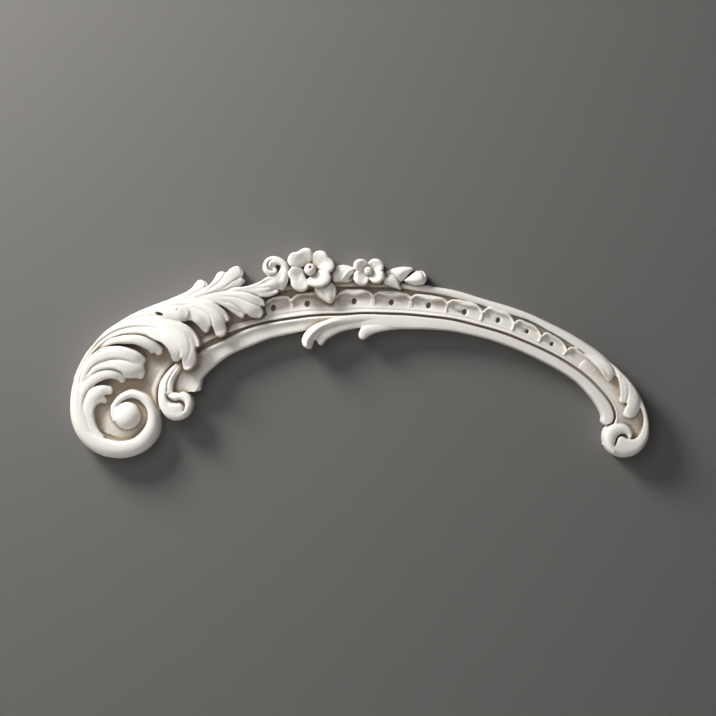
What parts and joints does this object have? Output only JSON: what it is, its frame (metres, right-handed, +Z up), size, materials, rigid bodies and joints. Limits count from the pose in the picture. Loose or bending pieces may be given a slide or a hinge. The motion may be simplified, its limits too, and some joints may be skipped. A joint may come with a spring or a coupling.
{
  "type": "wall applique",
  "caption": "Flat-backed plaster relief in the shape of a long C scroll, with acanthus leaves, shell work, flowers and a volute at each end, fixed to a wall as ornament",
  "frame": {"origin": "on the flat back, behind the band over the middle of the arch", "axes": "+X along the applique towards the end with the smaller volute, +Y into the wall, +Z up"},
  "size_m": [0.5771, 0.0416, 0.209],
  "materials": {
    "plaster": "matte"
  },
  "bodies": {
    "root": {"applique": "plaster"}
  },
  "joints": []
}
